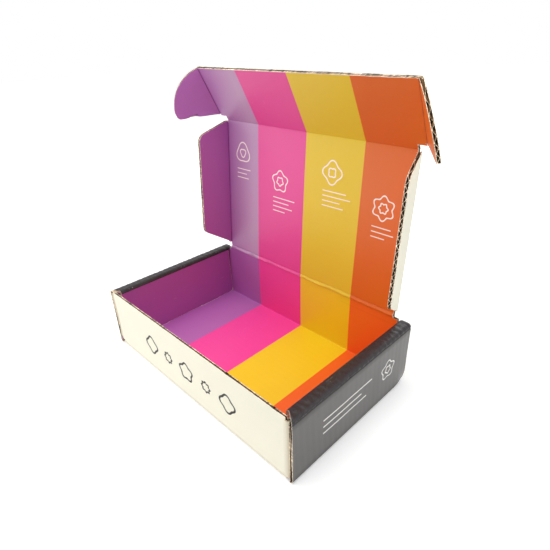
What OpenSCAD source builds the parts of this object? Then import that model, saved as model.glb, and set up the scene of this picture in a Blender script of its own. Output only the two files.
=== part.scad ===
// Mailer box folded from one sheet of corrugated board, standing open:
// a tray with double roll-over side walls, and a lid with dust flaps, a tuck flap and two ears.
// X runs along the front, Y to the back, Z up. The origin is the middle of the underside.

/* [Tray] */
// Outside width of the tray
box_w = 254; // [200:1:320]
// Outside depth of the tray
box_d = 152; // [130:1:200]
// Height of the tray's side walls
box_h = 63.5; // [56:0.5:90]

/* [Board] */
// Thickness of the board
board_t = 2.9; // [2.6:0.1:3.3]
// Thickness of each flat liner
liner_t = 0.35; // [0.25:0.05:0.45]
// Thickness of the fluted paper between the liners
medium_t = 0.3; // [0.2:0.05:0.4]
// Length of one whole flute
flute_pitch = 6.4; // [5.6:0.1:7.2]
// Inside radius of a fold
fold_r = 0.5; // [0.3:0.1:0.8]

/* [Side walls] */
// Play of an ear and a corner flap together between the two layers
ear_play = 0.3; // [0.2:0.1:0.9]
// Play of the tuck flap's board in the slit before an inner side wall
slit_play = 0.3; // [0.2:0.1:2]
// Gap behind an inner side wall
rear_gap = 1; // [0.5:0.1:3]
// Length of each locking tab under an inner side wall
tab_l = 28; // [16:1:40]
// Distance between the middles of the two locking tabs
tab_spacing = 74; // [50:1:80]
// Play of a tab in its floor slot
tab_play = 0.25; // [0.2:0.05:0.5]
// Length of the front wall's corner flaps
front_corner_l = 46; // [20:1:60]
// Length of the back wall's corner flaps
back_corner_l = 58; // [20:1:60]
// Radius of a corner flap's free corners
corner_round = 8; // [2:1:12]
// Side of the small relief cut at each lower corner
relief = 3; // [1.5:0.5:5]

/* [Lid] */
// Opening angle of the lid, from closed
lid_open = 93.5; // [60:0.5:120]
// Height of the lid's crease over the side walls
lid_rise = 3; // [0.5:0.5:6]
// Play between a dust flap and the inner side wall beside it
dust_play = 1.8; // [0.6:0.1:4]
// Play between the tuck flap and the front wall
tuck_play = 0.3; // [0.3:0.1:3]
// Slit that keeps two hinged panels apart at a crease
crease_gap = 0.3; // [0.2:0.1:0.6]

/* [Dust flaps] */
// Reach of a dust flap from its crease
dust_reach = 38; // [24:1:50]
// Angle between the left dust flap and the lid's plane
left_dust_fold = 90; // [60:1:90]
// Angle between the right dust flap and the lid's plane
right_dust_fold = 71.5; // [60:0.5:90]
// Distance from the lid's rear crease to the dust flap's root
dust_root = 5; // [2:0.5:12]
// Slant of a dust flap's rear edge
dust_rear_slant = 22; // [8:1:30]
// Slant of a dust flap's front edge
dust_front_slant = 13; // [6:1:24]
// Corner radius of a dust flap
dust_round = 9; // [3:0.5:12]

/* [Tuck flap] */
// Reach of the tuck flap from its crease
tuck_reach = 57.5; // [40:0.5:60]
// Angle between the tuck flap and the lid's plane
tuck_fold = 31; // [15:1:60]
// Length of the tuck flap's narrow neck beside the lid
neck_l = 4; // [2:0.5:5]
// Radius of the neck's inner corners
neck_round = 2; // [0.5:0.5:2]

/* [Ears] */
// Reach of an ear from its crease
ear_reach = 46; // [30:0.5:50]
// Angle between the left ear and the tuck flap's plane
left_ear_fold = 52; // [30:1:90]
// Angle between the right ear and the tuck flap's plane
right_ear_fold = 52; // [30:1:90]
// Slant of an ear's upper edge
ear_slant = 13; // [6:1:20]
// Radius of an ear's tip
ear_tip_r = 4; // [2:0.5:6]

/* [Hidden] */
$fn = 48;
eps = 0.02;
over = 1;            // how far a cutting block reaches past what it cuts
wave_steps = 5;      // straight pieces in half a flute of a flap's board
tray_steps = 3;      // the same in the tray, whose flutes are mostly closed in
arc_steps = 10;      // straight pieces in a rounded corner
sink = 0.04;         // how far the fluted paper is bonded into a liner
open_share = 0.86;   // share of a flute that stays open beside the fluted paper
seat_gap = 0.3;      // air between the floor and what is folded down on it
neck_step = 0.5;     // slope of the step from the tuck flap's neck to its full width
lid_margin = 2;      // how far the back wall's raised part reaches past the lid, at each end
front_margin = 1;    // how far the front wall's raised part reaches into the band's gap
back_play = 0.4;     // play between the back wall's upper part and the inner side wall

bend_r = fold_r + board_t;
cavity_w = 2 * board_t + ear_play;
band_w = 2 * board_t + cavity_w;
half_w = box_w / 2;
half_d = box_d / 2;
panel_x = half_w - board_t;
inner_x = half_w - band_w;
front_y = board_t - half_d;
hinge_y = half_d - board_t;
hinge_z = box_h + lid_rise;
slit = board_t + tuck_play + slit_play;
side_front_y = front_y + slit;
side_rear_y = hinge_y - rear_gap;
flap_x = panel_x - ear_play / 3;
under_band_z = box_h - board_t - seat_gap;
floor_z = board_t + seat_gap;
ear_top = lid_rise + board_t + ear_play;   // an ear starts just under the band

lid_w = 2 * (inner_x - dust_play - board_t);
lid_l = hinge_y - front_y - board_t - tuck_play;
tuck_w = 2 * (inner_x + board_t + ear_play / 3);
back_step_x = lid_w / 2 + lid_margin;
front_step_x = inner_x + board_t + front_margin;

// Points of a circular arc
function arc(c, r, from, to) =
    [for (i = [0:arc_steps]) let (a = from + (to - from) * i / arc_steps) c + r * [cos(a), sin(a)]];

function unit(v) = v / norm(v);

// Points that round the corner b between a and c to radius r
function corner(a, b, c, r) =
    let (
        u = unit(a - b),
        v = unit(c - b),
        half = acos(u * v) / 2,
        m = b + unit(u + v) * r / sin(half),
        p = b + u * r / tan(half) - m,
        q = b + v * r / tan(half) - m,
        from = atan2(p.y, p.x),
        turn = atan2(q.y, q.x) - from,
        sweep = turn > 180 ? turn - 360 : turn < -180 ? turn + 360 : turn
    )
    arc(m, r, from, from + sweep);

// Corners of a panel, each one rounded to its own radius
function rounded(pts, radii) =
    let (n = len(pts))
    [for (i = [0:n - 1])
        each radii[i] == 0 ? [pts[i]] : corner(pts[(i + n - 1) % n], pts[i], pts[(i + 1) % n], radii[i])];

// Middle of the fluted paper at distance s, between the outer face at -board_t and the inner face at 0
function wave(s) =
    -board_t / 2 + ((board_t - medium_t) / 2 - liner_t + sink) * cos(360 * s / flute_pitch);

// One open cell beside the fluted paper: side 1 lies under the inner liner, side -1 over the outer one
module flute_cell(mid, side, steps) {
    reach = flute_pitch / 2 * open_share;
    face = side > 0 ? -liner_t : liner_t - board_t;
    paper = [for (i = [-steps:steps])
        let (s = mid + reach * i / steps) [s, wave(s) + side * medium_t / 2]];
    polygon(concat(paper, [[mid + reach, face], [mid - reach, face]]));
}

// Section of the board from s = a to s = b
module board_section(a, b, steps = wave_steps) {
    difference() {
        translate([a, -board_t])
            square([b - a, board_t]);
        for (k = [floor(a / flute_pitch) - 1:ceil(b / flute_pitch) + 1]) {
            flute_cell(k * flute_pitch, -1, steps);
            flute_cell((k + 0.5) * flute_pitch, 1, steps);
        }
    }
}

// Draws a section of the YZ plane along X, from x = a to x = b
module along_x(a, b)
    translate([a, 0, 0])
        rotate([90, 0, 90])
            linear_extrude(b - a)
                children();

// Draws a section of the XZ plane along Y, from y = a to y = b
module along_y(a, b)
    translate([0, b, 0])
        rotate([90, 0, 0])
            linear_extrude(b - a)
                children();

// Panel of real board, its flutes along X, cut to an outline in its own plane
module cut_panel(x0, x1, y0, y1) {
    intersection() {
        along_x(x0, x1)
            board_section(y0, y1);
        translate([0, 0, -board_t - over])
            linear_extrude(board_t + 2 * over)
                children();
    }
}

// Quarter ring that joins two walls of a section, its corner at the origin
module bend() {
    translate([bend_r, bend_r])
        intersection() {
            difference() {
                circle(bend_r);
                circle(fold_r);
            }
            translate([-bend_r, -bend_r])
                square(bend_r + eps);
        }
}

// Board section turned upright, with one face at x = 0, from y = a to y = b
module upright_section(a, b)
    rotate(90)
        board_section(a, b, tray_steps);

// Section of a side wall's folds and of the band that joins its two layers
module side_section() {
    translate([half_w, 0])
        mirror([1, 0])
            bend();
    translate([half_w, box_h])
        rotate(180)
            bend();
    translate([inner_x + bend_r - eps, box_h - board_t])
        square([band_w - 2 * bend_r + 2 * eps, board_t]);
    translate([inner_x, box_h])
        mirror([0, 1])
            bend();
}

// Layer of a side wall, its flutes upright, with its outer face at x = face
module wall_layer(face, front, rear, z0)
    translate([face, 0, z0])
        linear_extrude(box_h - bend_r + eps - z0)
            upright_section(front, rear);

// Area in front of the slanted front end of a band
module band_end() {
    polygon([
        [half_w + over, -half_d - over],
        [half_w, -half_d],
        [tuck_w / 2 + ear_play, side_front_y],
        [inner_x - over, side_front_y],
        [inner_x - over, -half_d - over]
    ]);
}

// Relief cut where the folds meet at a lower corner
module relief_cut()
    translate([flap_x - relief - board_t, -half_d - over, -over])
        cube([relief + board_t + ear_play / 3 - eps, bend_r + over, relief + board_t + over]);

module locking_tab(play, z0, z1) {
    for (side = [-1, 1])
        translate([inner_x - play, side * tab_spacing / 2 - tab_l / 2 - play, z0])
            cube([board_t + 2 * play, tab_l + 2 * play, z1 - z0]);
}

module side_wall() {
    difference() {
        union() {
            along_y(-half_d, half_d)
                side_section();
            wall_layer(panel_x, -half_d, half_d, bend_r - eps);
            wall_layer(inner_x, side_front_y, side_rear_y, floor_z);
        }
        // the band ends on a slant, and the inner wall leaves the slit for the tuck flap
        translate([0, 0, box_h - board_t])
            linear_extrude(board_t + over)
                band_end();
        translate([0, 0, floor_z - eps])
            linear_extrude(box_h)
                intersection() {
                    band_end();
                    translate([inner_x - over, -half_d - over])
                        square([band_w - board_t + over - fold_r, box_d]);
                }
        translate([inner_x - over, side_rear_y, -over])
            cube([board_t + over + fold_r, board_t + rear_gap + over, under_band_z + over]);
        for (end = [-1, 1])
            scale([1, end, 1])
                relief_cut();
    }
    locking_tab(0, seat_gap, floor_z + eps);
}

// Section of the front wall with its fold to the floor
module front_section() {
    translate([-half_d, 0])
        bend();
    translate([-half_d, 0])
        upright_section(bend_r - eps, box_h);
}

module front_wall() {
    difference() {
        along_x(bend_r - flap_x, flap_x - bend_r)
            front_section();
        for (side = [-1, 1])
            scale([side, 1, 1]) {
                relief_cut();
                translate([front_step_x, -half_d - over, under_band_z])
                    cube([band_w, board_t + 2 * over, box_h]);
            }
    }
}

// Section of the back wall, its upper edge bevelled so the lid can fold back flat
module back_section() {
    translate([half_d, 0])
        mirror([1, 0])
            bend();
    translate([hinge_y, 0])
        intersection() {
            upright_section(bend_r - eps, hinge_z);
            polygon([
                [0, 0],
                [board_t, 0],
                [board_t, hinge_z - crease_gap - board_t],
                [0, hinge_z - crease_gap]
            ]);
        }
}

module back_wall() {
    difference() {
        along_x(bend_r - flap_x, flap_x - bend_r)
            back_section();
        for (side = [-1, 1])
            scale([side, 1, 1]) {
                mirror([0, 1, 0])
                    relief_cut();
                translate([inner_x - back_play, hinge_y - over, under_band_z])
                    cube([band_w, board_t + 2 * over, hinge_z]);
                translate([back_step_x, hinge_y - over, box_h])
                    cube([band_w, board_t + 2 * over, hinge_z]);
            }
    }
}

// Corner flap that carries on round the end of the front or back wall, inside the side wall
module corner_flap(length) {
    z0 = relief + board_t;
    translate([flap_x, -half_d, z0])
        linear_extrude(under_band_z - z0)
            mirror([1, 0])
                bend();
    intersection() {
        along_y(bend_r - half_d - eps, length - half_d)
            translate([flap_x - board_t, 0])
                upright_section(z0, under_band_z);
        translate([flap_x - board_t - over, -half_d, 0])
            rotate([90, 0, 90])
                linear_extrude(board_t + 2 * over)
                    polygon(rounded(
                        [[0, z0], [length, z0], [length, under_band_z], [0, under_band_z]],
                        [0, corner_round, corner_round, 0]
                    ));
    }
}

module floor_panel() {
    difference() {
        along_x(bend_r - half_w - eps, half_w - bend_r + eps)
            translate([0, board_t])
                board_section(bend_r - half_d - eps, half_d - bend_r + eps, tray_steps);
        for (side = [-1, 1])
            scale([side, 1, 1])
                locking_tab(tab_play, -over, board_t + over);
    }
}

module tray() {
    color([0.95, 0.92, 0.83]) {
        floor_panel();
        front_wall();
        back_wall();
        for (side = [-1, 1])
            scale([side, 1, 1]) {
                side_wall();
                corner_flap(front_corner_l);
                mirror([0, 1, 0])
                    corner_flap(back_corner_l);
            }
    }
}

// Frame of the lid: x along the crease, y up the lid, z out of its inner face
module in_lid()
    translate([0, hinge_y, hinge_z])
        rotate([180 - lid_open, 0, 0])
            children();

// Frame of the tuck flap, from its crease at the lid's free edge
module in_tuck()
    in_lid()
        translate([0, lid_l, 0])
            rotate([tuck_fold, 0, 0])
                children();

// Frame of a side panel that is folded up by an angle along the line x = edge
module folded_side(edge, angle)
    translate([edge, 0, 0])
        rotate([0, -angle, 0])
            children();

module lid() {
    half = lid_w / 2 - crease_gap / 2;
    color([0.9, 0.36, 0.6])
        in_lid()
            along_x(-half, half)
                difference() {
                    board_section(crease_gap, lid_l - crease_gap / 2);
                    // bevel of the hinged edge, so the lid can fold back flat
                    polygon([
                        [crease_gap - over, over],
                        [crease_gap + board_t + over, -board_t - over],
                        [0, -board_t - over]
                    ]);
                }
}

// A dust flap in its own frame, x outwards from the crease
module dust_panel() {
    root = crease_gap / 2;
    front = lid_l - crease_gap;
    cut_panel(0, dust_reach, dust_root, front)
        polygon(rounded(
            [
                [root, dust_root],
                [dust_reach, dust_root + dust_rear_slant],
                [dust_reach, front - dust_front_slant],
                [root, front]
            ],
            [0, dust_round, dust_round, 0]
        ));
}

module left_dust_flap() {
    color([0.56, 0.25, 0.53])
        in_lid()
            mirror([1, 0, 0])
                folded_side(lid_w / 2, left_dust_fold)
                    dust_panel();
}

module right_dust_flap() {
    color([0.9, 0.42, 0.16])
        in_lid()
            folded_side(lid_w / 2, right_dust_fold)
                dust_panel();
}

module tuck_flap() {
    half = tuck_w / 2 - crease_gap / 2;
    neck = lid_w / 2 - crease_gap / 2;
    color([0.93, 0.76, 0.2])
        in_tuck()
            cut_panel(-half, half, 0, tuck_reach)
                polygon(rounded(
                    [
                        [-neck, crease_gap / 2],
                        [neck, crease_gap / 2],
                        [neck, neck_l],
                        [half, neck_l + neck_step],
                        [half, tuck_reach],
                        [-half, tuck_reach],
                        [-half, neck_l + neck_step],
                        [-neck, neck_l]
                    ],
                    [0, 0, neck_round, 0, 0, 0, 0, neck_round]
                ));
}

// An ear in its own frame: a quarter round about its upper root, with a slanted upper edge
module ear_panel() {
    root = crease_gap / 2;
    swing = tuck_reach - ear_top - ear_slant / 2;
    middle = tuck_reach - swing;
    tip = [ear_reach, ear_top + ear_slant];
    tip_a = asin((tip.y + 2 * ear_tip_r - middle) / swing);
    tip_far = [swing * cos(tip_a), middle + swing * sin(tip_a)];
    reach = min(ear_reach, tip_far.x);
    cut_panel(0, ear_reach, 0, tuck_reach)
        polygon(concat(
            [[root, tuck_reach], [root, ear_top]],
            corner([root, ear_top], [reach, tip.y], [reach, tip.y + 3 * ear_tip_r], ear_tip_r),
            [for (i = [0:arc_steps])
                let (a = tip_a + (90 - tip_a) * i / arc_steps)
                    [max(root, min(reach, swing * cos(a))), middle + swing * sin(a)]]
        ));
}

module left_ear() {
    color([0.52, 0.2, 0.45])
        in_tuck()
            mirror([1, 0, 0])
                folded_side(tuck_w / 2, left_ear_fold)
                    ear_panel();
}

module right_ear() {
    color([0.93, 0.45, 0.15])
        in_tuck()
            folded_side(tuck_w / 2, right_ear_fold)
                ear_panel();
}

tray();
lid();
left_dust_flap();
right_dust_flap();
tuck_flap();
left_ear();
right_ear();
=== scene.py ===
import math
import bpy
import bmesh
import numpy as np
from mathutils import Matrix, Vector, kdtree


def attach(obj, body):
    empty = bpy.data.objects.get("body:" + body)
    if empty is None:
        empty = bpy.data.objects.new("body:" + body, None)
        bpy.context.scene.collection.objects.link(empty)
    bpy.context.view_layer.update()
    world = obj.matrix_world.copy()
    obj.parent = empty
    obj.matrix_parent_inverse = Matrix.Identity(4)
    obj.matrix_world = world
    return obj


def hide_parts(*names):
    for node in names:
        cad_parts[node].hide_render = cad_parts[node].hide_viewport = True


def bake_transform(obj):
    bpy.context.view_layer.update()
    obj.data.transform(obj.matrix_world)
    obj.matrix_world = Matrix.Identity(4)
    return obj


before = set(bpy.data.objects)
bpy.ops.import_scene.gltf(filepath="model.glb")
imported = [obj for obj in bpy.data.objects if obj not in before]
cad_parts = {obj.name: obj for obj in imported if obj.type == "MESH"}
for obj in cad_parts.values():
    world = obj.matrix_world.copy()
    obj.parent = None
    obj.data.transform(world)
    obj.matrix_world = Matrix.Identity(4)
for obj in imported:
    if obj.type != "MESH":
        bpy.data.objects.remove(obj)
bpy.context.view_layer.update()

# All sizes are in millimetres and turn into metres when a mesh or a print is made
mm = 0.001

# Two liners with a fluted core between them, which sinks into the glue. The flutes run a little
# askew, more so past skewFrom.
board = {"thick": 2.9, "liner": 0.35, "core": 0.46, "flute": 6.4, "fold": 0.5, "sag": 0.05,
         "fray": 0.14, "coreFray": 1.5, "skew": 0.008, "sideSkew": 0.045, "skewFrom": 130, "shift": 1.25,
         "glued": 0.04, "squashed": 0.9}
thick = board["thick"]
bendR = thick + board["fold"]
bendLength = (board["fold"] + thick / 2) * math.pi / 2
farOff = 20.0  # a distance at which no fold or edge shows
anywhere = (-999.0, 999.0)  # a fold that runs from one side of the sheet to the other

# Points closer than weld are one point. Closer than cut or join to such a line, a point is on it.
close = {"weld": 0.002, "cut": 1e-6, "join": 0.01}

# The tray. Its side walls roll over at the band, and its corner flaps stand inside them.
box = {"halfW": 127.0, "halfD": 76.0, "height": 63.5, "innerX": 115.1, "flapX": 124.0,
       "underBand": 60.3, "midRow": 30, "seat": 3.2, "slitY": -69.6, "rearY": 72.1,
       "tuckEdge": 118.4, "notch": (5.9, 3.4), "notchX": 118.1, "lidX": 112.4, "backStep": 114.7,
       "flapReach": (42.6, 54.6), "slotX": (114.85, 118.25), "slotY": (22.75, 51.25),
       "tabY": (23, 51), "tabDrop": 2.9, "nick": 0.1, "hingeY": 73.1, "hingeRise": 66.5,
       "hingeHalf": 112.0, "hingeCrease": 3.0}
box["backTop"] = box["hingeRise"] - box["hingeCrease"]
rolledX = box["halfW"] - bendR
rolledY = box["halfD"] - bendR
cornerX = box["flapX"] - bendR

# Each piece has a seed of its own, so that each run gives the same box
seeds = {"floor": 11, "wall": 23, "lid": 31, "tuck": 53, "dust": 43, "ear": 59, "lidCrease": 37,
         "tuckCrease": 41, "dustCrease": 47, "earCrease": 61, "tuckGroove": 75, "dustGroove": 77,
         "earGroove": 79, "outline": 5}
layerSeeds = {"outer": 0, "core": 5, "inner": 9}

# Uneven lines: (level, swing, longest wave in mm, seed), each drawn with the same kind of waves
uneven = {"cut": (0.5, 0.6, 8.0, 0), "groove": (0.8, 0.3, 50.0, 0), "brim": (0.0, 0.22, 30.0, 3),
          "sagAlong": (0.55, 0.5, 40.0, 19), "sagAcross": (0.0, 0.2, 9.0, 20),
          "ledgeShift": (0.0, 0.35, 70.0, 71), "ledgeTall": (0.8, 0.45, 45.0, 72),
          "bowSide": (0.7, 0.4, 160.0, 81), "bowEnd": (0.7, 0.4, 220.0, 82),
          "lidBow": (0.4, 1.0, 180.0, 91)}
waves = {"count": 5, "shorter": 1.7, "weaker": 1.45, "spread": (0.8, 1.25), "phase": 6.28}


def ripple(t, seed, longest):
    rng = np.random.RandomState(seed)
    total = np.zeros_like(t, dtype=float)
    for k in range(waves["count"]):
        wave = longest / (waves["shorter"] ** k) * rng.uniform(*waves["spread"])
        total += np.sin(2 * math.pi * t / wave + rng.uniform(0, waves["phase"])) / (waves["weaker"] ** k)
    return total / 2


def sway(t, name, extraSeed=0):
    level, swing, longest, seed = uneven[name]
    return level + swing * ripple(t, seed + extraSeed, longest)


# How far a cut is torn back along itself, from 0 to a little over 1
def torn(t, seed):
    return np.maximum(sway(t, "cut", seed), 0)


# Stops with even steps between them, as near as they go to the step asked for
def spread(stops, step, leanUp=0.3):
    out = []
    for a, b in zip(stops[:-1], stops[1:]):
        parts = max(1, int(round((b - a) / step + leanUp)))
        out += [a + (b - a) * i / parts for i in range(parts)]
    return np.array(out + [stops[-1]])


def mirrored(values):
    return -np.array(values)[::-1]


# Path of a folded board in a plane: face A runs on the outside, face B lies one board inwards.
# A step is (length, 0) for a flat stretch and (0, degrees) for a fold.
def foldedPath(start, heading, steps):
    spans, s = [], 0.0
    p, h = np.array(start, float), math.radians(heading)
    for size, turn in steps:
        ahead = np.array([math.cos(h), math.sin(h)])
        inward = np.array([-ahead[1], ahead[0]])
        if turn == 0:
            spans.append((s, s + size, p, ahead, inward, 0.0, None, 0.0))
            p = p + ahead * size
            s += size
            continue
        angle = math.radians(turn)
        length = (board["fold"] + thick / 2) * abs(angle)
        radius = bendR if angle > 0 else -board["fold"]
        centre = p + inward * radius
        spans.append((s, s + length, p, ahead, inward, angle, centre, radius))
        spoke = p - centre
        c, t = math.cos(angle), math.sin(angle)
        p = centre + np.array([spoke[0] * c - spoke[1] * t, spoke[0] * t + spoke[1] * c])
        h += angle
        s += length
    return spans


# Points at distance s along a path and at height w over face A
def along(spans, s, w):
    out = np.zeros((len(s), 2))
    for s0, s1, p, ahead, inward, angle, centre, radius in spans:
        m = (s >= s0 - 1e-9) if s0 > 0 else np.ones(len(s), bool)
        if angle == 0:
            out[m] = p + (s[m] - s0)[:, None] * ahead + w[m][:, None] * inward
        else:
            f = np.clip((s[m] - s0) / (s1 - s0), 0, 1) * angle
            spoke = np.cos(f)[:, None] * inward - np.sin(f)[:, None] * ahead
            out[m] = centre + (w[m] - radius)[:, None] * spoke
    return out


def pathStops(spans, flatStep, bendParts):
    out = [0.0]
    for s0, s1, _, _, _, angle, _, _ in spans:
        parts = bendParts if angle else max(1, int(round((s1 - s0) / flatStep)))
        out += [s0 + (s1 - s0) * (i + 1) / parts for i in range(parts)]
    return np.array(out)


# One area of the sheet: columns u, rows v, and where a point of it lies at height w over face A.
# Cuts are torn a little, folds wear, and joins are where the next piece carries on. The core has
# rows of its own, a step apart between its stops, close enough for its waves.
def area(us, vs, place, outer, inner, keep=None, cuts=(), folds=(), joins=(), sag=None,
         stops=None, step=board["flute"] / 12):
    coreRows = spread(stops or [vs[0], vs[-1]], step)
    return {"us": us, "vs": vs, "place": place, "outer": outer, "inner": inner, "keep": keep,
            "cuts": cuts, "folds": folds, "joins": joins, "sag": sag, "coreRows": coreRows}


# A fold is (axis, place, from, to). bothSides gives the same one at the left and the right.
def bothSides(axis, at, low=anywhere[0], high=anywhere[1]):
    return [(axis, at, low, high), (axis, -at, low, high)]


def foldDistance(u, v, folds):
    best = np.full(len(u), farOff)
    for axis, at, low, high in folds:
        here, other = (u, v) if axis == "u" else (v, u)
        past = np.maximum(np.maximum(low - other, other - high), 0)
        best = np.minimum(best, np.hypot(here - at, past))
    return best


def fluteTurn(u, v):
    askew = board["skew"] * u + board["sideSkew"] * np.maximum(np.abs(u) - board["skewFrom"], 0)
    return np.cos(2 * math.pi * (v + askew + board["shift"]) / board["flute"])


# Lower and upper face of one paper layer, with the liners drawn in a little between the flutes
def layerHeights(layer, u, v, sag):
    wave = fluteTurn(u, v)
    if layer == "outer":
        rise = sag * (0.5 + 0.5 * wave)
        return rise, rise + board["liner"]
    if layer == "inner":
        sink = sag * (0.5 - 0.5 * wave)
        return thick - board["liner"] - sink, thick - sink
    mid = thick / 2 + ((thick - board["core"]) / 2 - board["liner"] + board["glued"]) * wave
    return mid - board["core"] / 2, mid + board["core"] / 2


# A liner keeps the area's rows, and the core has its own
def layerRows(part, layer):
    if layer != "core":
        return part["vs"]
    if part["keep"] is None:
        return part["coreRows"]
    return np.unique(np.round(np.concatenate([part["coreRows"], part["vs"]]), 4))


# Moves the points on a cut back by its fray, more so in the core
def tearCuts(part, layer, u, v, seed):
    wholeU, wholeV = u.copy(), v.copy()
    for axis, at, fray in part["cuts"]:
        here, other = (wholeU, wholeV) if axis == "u" else (wholeV, wholeU)
        m = np.abs(here - at) < close["cut"]
        back = torn(other[m], seed + int(abs(at)) % 97)
        deep = fray * (board["coreFray"] if layer == "core" else 1)
        (u if axis == "u" else v)[m] -= deep * back * np.sign(at)


def gridQuads(us, vs, keep):
    nv = len(vs)
    i, j = np.meshgrid(np.arange(len(us) - 1), np.arange(nv - 1), indexing="ij")
    i, j = i.ravel(), j.ravel()
    if keep is not None:
        ok = keep((us[i] + us[i + 1]) / 2, (vs[j] + vs[j + 1]) / 2)
        i, j = i[ok], j[ok]
    return np.c_[i * nv + j, (i + 1) * nv + j, (i + 1) * nv + j + 1, i * nv + j + 1]


# One paper layer of several areas, welded where they meet. The core shows cut paper where a
# slanted cut has squashed its rows together.
def paperLayer(areas, layer, seed):
    lows, highs, blanks, quads, paints, start = [], [], [], [], [], 0
    for part in areas:
        us, vs = part["us"], layerRows(part, layer)
        gridU, gridV = np.meshgrid(us, vs, indexing="ij")
        u, v = gridU.ravel().astype(float), gridV.ravel().astype(float)
        sag = board["sag"] if part["sag"] is None else part["sag"](u, v)
        w0, w1 = layerHeights(layer, u, v, sag)
        joined = np.zeros(len(u), bool)
        for axis, at in part["joins"]:
            joined |= np.abs(np.abs(u if axis == "u" else v) - at) < close["join"]
        blanks.append(np.c_[u, v, foldDistance(u, v, part["folds"]), joined])
        tearCuts(part, layer, u, v, seed + layerSeeds[layer])
        lows.append(part["place"](u, v, w0))
        highs.append(part["place"](u, v, w1))
        q = gridQuads(us, vs, part["keep"])
        quads.append(q + start)
        left = np.linalg.norm(lows[-1][q[:, 0]] - lows[-1][q[:, 3]], axis=1)
        cutBack = left < board["squashed"] * np.abs(v[q[:, 0]] - v[q[:, 3]])
        paints += [(part["outer"], part["inner"], "edge" if c else "core") for c in cutBack]
        start += len(u)
    low, high, blank, quads = np.vstack(lows), np.vstack(highs), np.vstack(blanks), np.vstack(quads)
    key = np.round(np.hstack([low, high]) / close["weld"]).astype(np.int64)
    _, first, back = np.unique(key, axis=0, return_index=True, return_inverse=True)
    return low[first], high[first], blank[first], back.reshape(-1)[quads], paints


# Closes a layer with faces along every open edge, and measures how far each point is from one
def closedLayer(low, high, blank, quads, paints, layer):
    n = len(low)
    faces, tags, edges = [], [], {}
    for q, (outer, inner, core) in zip(quads.tolist(), paints):
        loop = [a for k, a in enumerate(q) if a != q[k - 1]]
        if len(set(loop)) < 3 or len(set(loop)) != len(loop):
            continue
        top = {"inner": inner, "core": core}.get(layer, "pulp")
        bottom = {"outer": outer, "core": core}.get(layer, "pulp")
        faces += [[a + n for a in loop], loop[::-1]]
        tags += [top, bottom]
        for k in range(len(loop)):
            a, b = loop[k - 1], loop[k]
            if (b, a) in edges:
                del edges[(b, a)]
            else:
                edges[(a, b)] = True
    for a, b in edges:
        faces.append([a, b, b + n, a + n])
        tags.append("edge")
    rim = sorted({a for e in edges for a in e if not blank[a, 3]})
    tree = kdtree.KDTree(len(rim))
    for k, a in enumerate(rim):
        tree.insert(low[a], k)
    tree.balance()
    away = np.array([min(tree.find(p)[2] or 0.0, farOff) for p in low]) if rim else np.full(n, farOff)
    notes = np.c_[blank[:, :3], away]
    return np.vstack([low, high]), np.vstack([notes, notes]), faces, tags


# A board of two liners and a fluted core as one object
def boardPiece(name, areas, seed, warp=None, sharpAngle=38):
    points, blanks, faces, tags, start = [], [], [], [], 0
    for layer in ("outer", "core", "inner"):
        p, b, f, t = closedLayer(*paperLayer(areas, layer, seed), layer)
        points.append(p)
        blanks.append(b)
        faces += [[a + start for a in face] for face in f]
        tags += t
        start += len(p)
    points, blanks = np.vstack(points), np.vstack(blanks)
    if warp is not None:
        points = warp(points)
    mesh = bpy.data.meshes.new(name)
    mesh.from_pydata((points * mm).tolist(), [], faces)
    names = sorted(set(tags))
    for tag in names:
        mesh.materials.append(finishes[tag])
    mesh.polygons.foreach_set("material_index", [names.index(t) for t in tags])
    corner = np.zeros(len(mesh.loops), np.int32)
    mesh.loops.foreach_get("vertex_index", corner)
    blankUv = mesh.uv_layers.new(name="blank")
    blankUv.data.foreach_set("uv", (blanks[corner, :2] * mm).astype(np.float32).ravel())
    for label, column in (("foldDistance", 2), ("edgeDistance", 3)):
        values = (blanks[:, column] * mm).astype(np.float32)
        mesh.attributes.new(label, "FLOAT", "POINT").data.foreach_set("value", values)
    work = bmesh.new()
    work.from_mesh(mesh)
    bmesh.ops.recalc_face_normals(work, faces=work.faces)
    loose = [v for v in work.verts if not v.link_faces]
    bmesh.ops.delete(work, geom=loose, context="VERTS")
    work.to_mesh(mesh)
    work.free()
    mesh.polygons.foreach_set("use_smooth", [True] * len(mesh.polygons))
    mesh.set_sharp_from_angle(angle=math.radians(sharpAngle))
    piece = bpy.data.objects.new(name, mesh)
    bpy.context.scene.collection.objects.link(piece)
    print("made", name, len(mesh.polygons), "faces")
    return piece


# Shader helpers
def group(name, inputs, outputs):
    g = bpy.data.node_groups.new(name, "ShaderNodeTree")
    for label, kind, value in inputs:
        socket = g.interface.new_socket(name=label, in_out="INPUT", socket_type="NodeSocket" + kind)
        if value is not None:
            socket.default_value = value
    for label, kind in outputs:
        g.interface.new_socket(name=label, in_out="OUTPUT", socket_type="NodeSocket" + kind)
    return g, g.nodes.new("NodeGroupInput").outputs, g.nodes.new("NodeGroupOutput").inputs


def maths(tree, operation, *values, clamp=False):
    node = tree.nodes.new("ShaderNodeMath")
    node.operation = operation
    node.use_clamp = clamp
    for i, value in enumerate(values):
        if isinstance(value, (int, float)):
            node.inputs[i].default_value = value
        else:
            tree.links.new(value, node.inputs[i])
    return node.outputs[0]


def added(tree, a, b):
    return maths(tree, "ADD", a, b)


def less(tree, a, b):
    return maths(tree, "SUBTRACT", a, b)


def times(tree, a, b):
    return maths(tree, "MULTIPLY", a, b)


def larger(tree, a, b):
    return maths(tree, "MAXIMUM", a, b)


# A value as a share of a whole, held between 0 and 1
def shareOf(tree, value, whole):
    return maths(tree, "DIVIDE", value, whole, clamp=True)


# 1 at no distance, falling to 0 at the reach
def nearness(tree, distance, reach):
    return less(tree, 1.0, shareOf(tree, distance, reach))


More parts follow.
